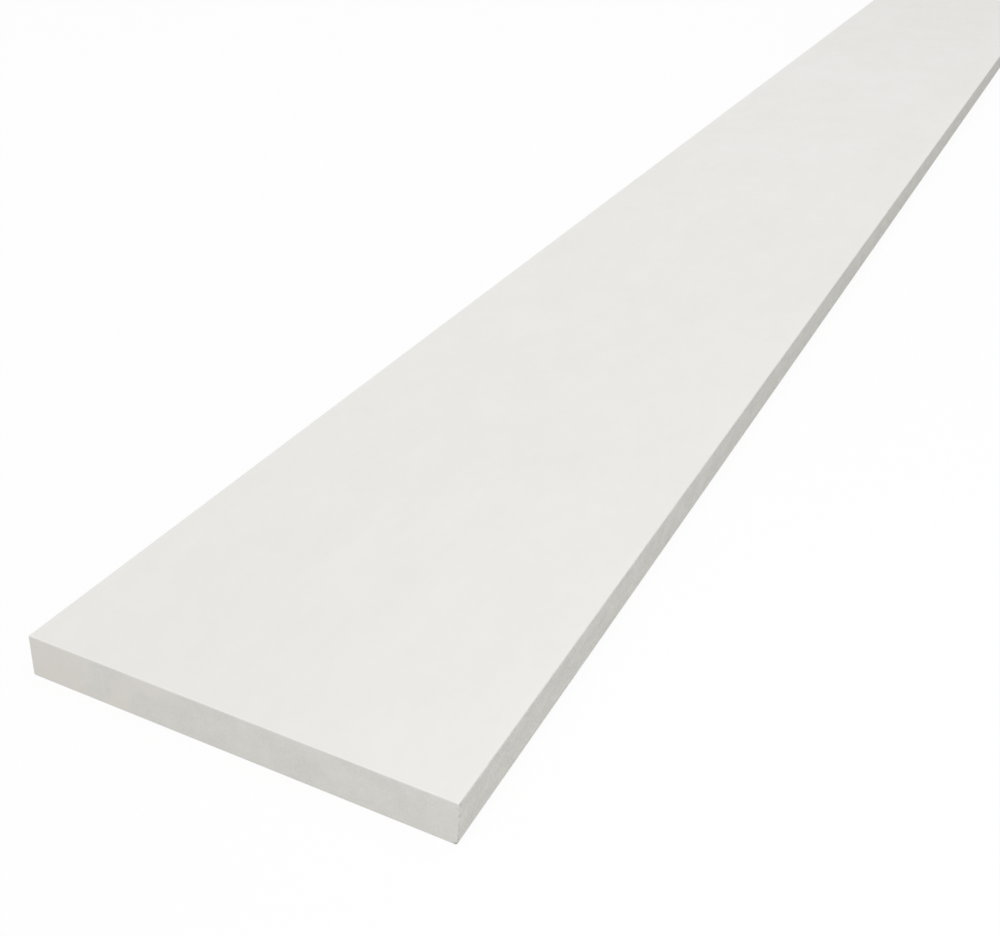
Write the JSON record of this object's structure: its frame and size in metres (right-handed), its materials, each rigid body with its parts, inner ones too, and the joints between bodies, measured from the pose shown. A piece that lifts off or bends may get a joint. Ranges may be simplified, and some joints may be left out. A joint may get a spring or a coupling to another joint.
{
  "type": "trim board",
  "caption": "Flat white trim board with square milled edges, eased arrises and square-cut ends, for finishing corners, fascias and openings.",
  "frame": {"origin": "middle of the back face, which is the face that goes against a wall and lies on the floor here", "axes": "+Y along the board's length, +X across its width, +Z out of the show face through the thickness"},
  "size_m": [0.1842, 2.4384, 0.0191],
  "materials": {
    "cellular_pvc": "matte"
  },
  "bodies": {
    "root": {"trim_board": "cellular_pvc"}
  },
  "joints": []
}
